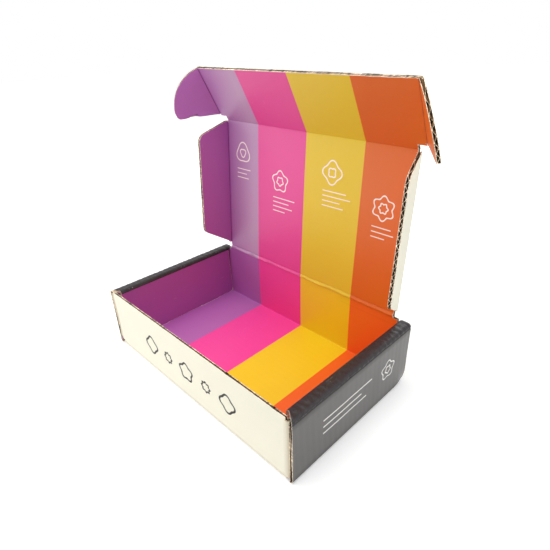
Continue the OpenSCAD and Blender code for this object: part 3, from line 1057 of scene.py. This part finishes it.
def grooveAt(deep, seed):
    def lift(t, other):
        return -deep * sway(other, "groove", seed) * np.exp(-(t / lid["grooveWide"]) ** 2)
    return lift


def tuckGroove(u, v):
    return grooveAt(tuck["groove"], seeds["tuckGroove"])(v, u)


# A crease laid flat, folded by turn and flat again, from wide before the fold to wide past it
def creasePath(wide, turn):
    flatPart = wide - board["fold"] * math.tan(math.radians(abs(turn)) / 2)
    return foldedPath((-wide, -thick), 0, [(flatPart, 0), (0, turn), (flatPart, 0)])


# A crease along x between a panel and the one above it: rows v run across the crease
def crossPlace(f, turn, lift, wide):
    path = creasePath(wide, turn)

    def place(u, v, w):
        at = along(path, (v + wide) / (2 * wide) * path[2][1], w + lift(u, v) * w / thick)
        return inFrame(f, np.c_[u, at[:, 0], at[:, 1]])
    return place


# A crease along y at the side of a panel: columns u run across it, and side is -1 for the left
def sidewaysPlace(f, edge, turn, side, lift):
    path = creasePath(crease, turn)

    def place(u, v, w):
        t = np.abs(u) - edge
        at = along(path, (t + crease) / (2 * crease) * path[2][1], w + lift(t, v) * w / thick)
        return inFrame(f, np.c_[side * (edge + at[:, 0]), v, at[:, 1]])
    return place


# Corner b of the line a, b, c rounded to radius r
def arcPoints(a, b, c, r, parts=10):
    a, b, c = (np.array(p, float) for p in (a, b, c))
    u, v = (a - b) / np.linalg.norm(a - b), (c - b) / np.linalg.norm(c - b)
    half = math.acos(float(u @ v)) / 2
    m = b + (u + v) / np.linalg.norm(u + v) * r / math.sin(half)
    p, q = b + u * r / math.tan(half) - m, b + v * r / math.tan(half) - m
    first = math.atan2(p[1], p[0])
    sweep = (math.atan2(q[1], q[0]) - first + math.pi) % (2 * math.pi) - math.pi
    angles = [first + sweep * i / parts for i in range(parts + 1)]
    return [tuple(m + r * np.array([math.cos(a), math.sin(a)])) for a in angles]


# Outlines as (distance out from the fold, place along the fold)
def dustOutline():
    root, front, reach = dust["root"], lid["length"] - dust["frontGap"], dust["reach"]
    low, high = (reach, root + dust["rearSlant"]), (reach, front - dust["frontSlant"])
    return [(0, root), *arcPoints((0, root), low, high, dust["round"]),
            *arcPoints(low, high, (0, front), dust["round"]), (0, front)]


def earOutline():
    swing = tuck["reach"] - ear["top"] - ear["slant"] / 2
    middle = tuck["reach"] - swing
    tipY = ear["top"] + ear["slant"]
    tipTurn = math.asin((tipY + 2 * ear["tip"] - middle) / swing)
    reach = min(ear["reach"], swing * math.cos(tipTurn))
    tip = arcPoints((0, ear["top"]), (reach, tipY), (reach, tipY + 3 * ear["tip"]), ear["tip"])
    parts = ear["arcParts"]
    turns = [tipTurn + (math.pi / 2 - tipTurn) * i / parts for i in range(parts + 1)]
    return [(0, ear["top"]), *tip,
            *((min(reach, swing * math.cos(a)), middle + swing * math.sin(a)) for a in turns)]


# A flap whose outer edge follows an outline: a point past the outline is pulled back onto it
def outlinedPlace(f, outline, side, edge, dent=None):
    ys = np.array([p[1] for p in outline])
    xs = np.array([max(p[0], 0) for p in outline])
    order = np.argsort(ys, kind="stable")
    ys, xs = ys[order], xs[order]

    def place(u, v, w):
        limit = np.interp(v, ys, xs)
        limit = limit - board["fray"] * torn(v, seeds["outline"] + int(edge)) * (limit > frayFrom)
        x = np.minimum(np.abs(u) - edge, np.maximum(limit, 0))
        left = w
        if dent is not None:
            deep = dent(x, v)
            left, v = w * (1 - deep), v + deep * ear["dentPull"] * w / thick
        return inFrame(f, np.c_[side * x, v, left - thick])
    return place


def lidBow(u, v):
    rise = np.sin(math.pi * np.clip((v - hingeCrease) / (lid["length"] - hingeCrease - crease), 0, 1))
    return lid["bow"] * rise * (1 - (u / (lid["halfW"] - crease)) ** 2) * sway(u, "lidBow")


def sideCuts(half):
    return (("u", -half, board["fray"]), ("u", half, board["fray"]))


def lidPanel():
    half, long = lid["halfW"], lid["length"]
    inner, outer = half - crease, half - lid["gap"]
    us = spread([-outer, -inner, *grid["middle"], inner, outer], grid["lid"][0])
    vs = spread([hingeCrease, dust["root"], long - crease], grid["lid"][1])
    folds = [("v", lid["valleyAt"], *anywhere), ("v", long, *anywhere)]
    folds += bothSides("u", half, dust["root"], long)

    def keep(u, v):
        return (np.abs(u) < inner) | (v < dust["root"])

    sheet = area(us, vs, panelPlace(lidFrame, lidBow), "cream", "lidStripes", keep=keep,
                 cuts=sideCuts(outer), folds=folds,
                 joins=(("v", hingeCrease), ("v", long - crease), ("u", inner)))
    return boardPiece("lid_panel", [sheet], seeds["lid"])


def tuckPanel():
    wide, slim, reach = tuck["halfW"], lid["halfW"] - lid["gap"], tuck["reach"]
    outer, inner = wide - lid["gap"], wide - crease
    us = spread([-outer, -inner, -slim, *grid["middle"], slim, inner, outer], grid["tuck"][0])
    vs = spread([crease, tuck["neckStep"], ear["top"], reach], grid["tuck"][1])
    folds = [("v", 0.0, *anywhere)] + bothSides("u", wide, ear["top"], reach)

    def keep(u, v):
        a, pastNeck = np.abs(u), v > tuck["neckStep"]
        return (a < slim) | (pastNeck & (a < inner)) | (pastNeck & (v < ear["top"]))

    sheet = area(us, vs, panelPlace(tuckFrame), "cream", "lidStripes", keep=keep,
                 cuts=(("v", reach, worn["frontFray"]),), folds=folds,
                 joins=(("v", crease), ("u", inner)))
    return boardPiece("tuck_panel", [sheet], seeds["tuck"])


# A crushed spot on the lower edge of the left ear, where the printed liner has drawn back
def earRim(x):
    return ear["top"] + ear["slant"] * x / ear["reach"]


dentX = -tuck["halfW"] - ear["dentAt"]
dentFolds = (("v", earRim(ear["dentAt"]) + ear["dentLineUp"],
              dentX - ear["dentLineHalf"], dentX + ear["dentLineHalf"]),)


def crushed(x, v):
    sideways = (x - ear["dentAt"]) / ear["dentWide"]
    upward = (v - earRim(x)) / ear["dentHigh"]
    return ear["dentDeep"] * np.exp(-sideways ** 2 - upward ** 2)


# Where the tuck flap's own crease starts, a dust flap's crease keeps only its outer half
def besideTuck(u, v):
    return (v < lid["length"] - crease) | (np.abs(u) > lid["halfW"])


# The two kinds of side flap, and the crease that each hangs from
dustKind = {"from": "lid", "frame": lidFrame, "edge": lid["halfW"], "reach": dust["reach"],
            "rows": [dust["root"], lid["length"] - crease, dust["tip"]], "outline": dustOutline(),
            "lift": grooveAt(dust["groove"], seeds["dustGroove"]), "keep": besideTuck, "cuts": (),
            "flapSeed": seeds["dust"], "creaseSeed": seeds["dustCrease"]}
earKind = {"from": "tuck_flap", "frame": tuckFrame, "edge": tuck["halfW"], "reach": ear["reach"],
           "rows": [ear["top"], tuck["reach"]], "outline": earOutline(),
           "lift": grooveAt(ear["groove"], seeds["earGroove"]), "keep": None,
           "cuts": (("v", tuck["reach"], worn["frontFray"]),),
           "flapSeed": seeds["ear"], "creaseSeed": seeds["earCrease"]}
flapMargin = 0.4  # columns go this far past a flap's reach


def flap(name, kind, side, turn, inner, dent=None, marks=()):
    edge, rows = kind["edge"], kind["rows"]
    f = turned(moved(kind["frame"], x=side * edge), -side * turn, 1)
    us = sided(spread([edge + crease, edge + kind["reach"] + flapMargin], grid["flap"][0]), side)
    place = outlinedPlace(f, kind["outline"], side, edge, dent)
    sheet = area(us, spread(rows, grid["flap"][1]), place, "cream", inner,
                 folds=[("u", side * edge, *anywhere), *marks], joins=(("u", edge + crease),),
                 stops=rows)
    return boardPiece(name, [sheet], kind["flapSeed"])


def hang(piece, node):
    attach(piece, node)
    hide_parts(node)


sides = ((-1, "left", "violet", dust["leftFold"]), (1, "right", "orange", dust["rightFold"]))
hang(lidPanel(), "lid")
hang(tuckPanel(), "tuck_flap")
for side, word, ink, fold in sides:
    hang(flap(word + "_dust_panel", dustKind, side, fold, ink), word + "_dust_flap")
    damage = (crushed, dentFolds) if side < 0 else ()
    hang(flap(word + "_ear_panel", earKind, side, ear["fold"], ink, *damage), word + "_ear")


# A crease keeps the place it was built at, baked into its points
def blendCrease(piece):
    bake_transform(piece)


def crossCrease(name, f, turn, lift, seed, rows, foldAt=0.0):
    half, wide = lid["halfW"] - lid["gap"], rows[-1]
    sheet = area(spread([-half, half], grid["creaseLong"]), rows, crossPlace(f, turn, lift, wide),
                 "cream", "lidStripes", cuts=sideCuts(half), folds=[("v", foldAt, *anywhere)],
                 joins=(("v", wide),), step=grid["creaseCore"])
    blendCrease(boardPiece(name, [sheet], seed))


def sideCrease(name, kind, side, turn, ink):
    f, edge, rows = kind["frame"], kind["edge"], kind["rows"]
    sheet = area(sided(edge + acrossRows, side), spread(rows, grid["creaseRows"]),
                 sidewaysPlace(f, edge, turn, side, kind["lift"]), "cream", ink, keep=kind["keep"],
                 cuts=kind["cuts"], folds=[("u", side * edge, *anywhere)],
                 joins=(("u", edge - crease), ("u", edge + crease)), stops=rows)
    blendCrease(boardPiece(name, [sheet], kind["creaseSeed"]))


crossCrease("lid_crease", wallFrame, lidTurn, ledge, seeds["lidCrease"],
            hingeRows, lid["valleyAt"])
crossCrease("tuck_crease", lidEdge, tuck["fold"], tuckGroove,
            seeds["tuckCrease"], acrossRows)
for side, word, ink, fold in sides:
    sideCrease(word + "_dust_crease", dustKind, side, fold, ink)
    sideCrease(word + "_ear_crease", earKind, side, ear["fold"], ink)
print("lid and flaps hung")

# Camera at the photograph's place, in metres
cameraFit = {"place": (0.2713, -0.22614, 0.28858), "lens": 28.984, "sensor": 36, "clip": (0.01, 50),
             "right": (0.7066824, 0.7068845, -0.0302387), "up": (-0.3213766, 0.3587729, 0.8763556),
             "back": (0.6303309, -0.609587, 0.4807146)}
cameraData = bpy.data.cameras.new("camera")
cameraData.lens = cameraFit["lens"]
cameraData.sensor_width = cameraFit["sensor"]
cameraData.clip_start, cameraData.clip_end = cameraFit["clip"]
camera = bpy.data.objects.new("camera", cameraData)
bpy.context.scene.collection.objects.link(camera)
facing = Matrix((cameraFit["right"], cameraFit["up"], cameraFit["back"])).transposed().to_4x4()
camera.matrix_world = Matrix.Translation(cameraFit["place"]) @ facing
bpy.context.scene.camera = camera

# Floor and light, in metres and watts. The floor glows a little for the camera, more with distance,
# so that it stays white far off and keeps the object's shadow near it.
studio = {"worldLevel": 0.32, "floor": "#EDEDED", "floorRough": 0.9, "floorWide": 8, "floorDrop": 0.0002,
          "nearLift": 0.36, "farLift": 0.68, "nearReach": 0.2, "farReach": 0.75}
lamps = {
    "leftLight": {"place": (-0.85, -0.55, 0.2), "to": (0, 0.04, 0.1), "size": (0.5, 0.5), "power": 1.65},
    "lowLight": {"place": (-0.1, -0.45, 0.1), "to": (0, -0.08, 0.04), "size": (0.55, 0.16), "power": 0.3},
    "overLight": {"place": (-0.1, -0.2, 0.95), "to": (0, 0.02, 0.05), "size": (0.8, 0.8), "power": 7.0},
    "backLight": {"place": (-0.3, 1.5, 0.7), "to": (0, 0.08, 0.12), "size": (1.2, 1.0), "power": 6.0},
    "sideLight": {"place": (1.6, 0.2, 0.8), "to": (0, 0, 0.05), "size": (1.2, 1.0), "power": 9.0}}
bpy.context.scene.view_settings.view_transform = "Standard"


# 1 for the rays that are seen, straight or by way of glossy and clear surfaces
def seenRays(tree, *kinds):
    rays = tree.nodes.new("ShaderNodeLightPath")
    total = rays.outputs["Is Camera Ray"]
    for kind in kinds:
        total = maths(tree, "ADD", total, rays.outputs[kind], clamp=True)
    return total


def makeWorld():
    world = bpy.data.worlds.new("studio")
    bpy.context.scene.world = world
    world.use_nodes = True
    tree, dim = world.node_tree, studio["worldLevel"]
    seen = seenRays(tree, "Is Glossy Ray", "Is Transmission Ray")
    background = tree.nodes["Background"]
    background.inputs["Color"].default_value = white
    tree.links.new(added(tree, dim, times(tree, seen, 1 - dim)), background.inputs["Strength"])


def makeLamp(name, look):
    data = bpy.data.lights.new(name, "AREA")
    data.shape = "RECTANGLE"
    data.size, data.size_y = look["size"]
    data.energy = look["power"]
    lamp = bpy.data.objects.new(name, data)
    bpy.context.scene.collection.objects.link(lamp)
    lamp.location = look["place"]
    lamp.rotation_euler = (Vector(look["to"]) - Vector(look["place"])).to_track_quat("-Z", "Y").to_euler()


def makeFloor():
    bpy.ops.mesh.primitive_plane_add(size=studio["floorWide"], location=(0, 0, -studio["floorDrop"]))
    floor = bpy.context.object
    floor.name = "studio_floor"
    m, tree, shader = freshMaterial("floorPaper")
    shader.inputs["Base Color"].default_value = rgb(studio["floor"])
    shader.inputs["Roughness"].default_value = studio["floorRough"]
    shader.inputs["Emission Color"].default_value = white
    spot = tree.nodes.new("ShaderNodeTexCoord")
    reach = tree.nodes.new("ShaderNodeVectorMath")
    reach.operation = "LENGTH"
    tree.links.new(spot.outputs["Object"], reach.inputs[0])
    past = less(tree, reach.outputs["Value"], studio["nearReach"])
    share = shareOf(tree, past, studio["farReach"] - studio["nearReach"])
    lift = added(tree, studio["nearLift"], times(tree, share, studio["farLift"] - studio["nearLift"]))
    glow = times(tree, seenRays(tree, "Is Glossy Ray"), lift)
    tree.links.new(glow, shader.inputs["Emission Strength"])
    floor.data.materials.append(m)


makeWorld()
for name, look in lamps.items():
    makeLamp(name, look)
makeFloor()
print("studio ready")
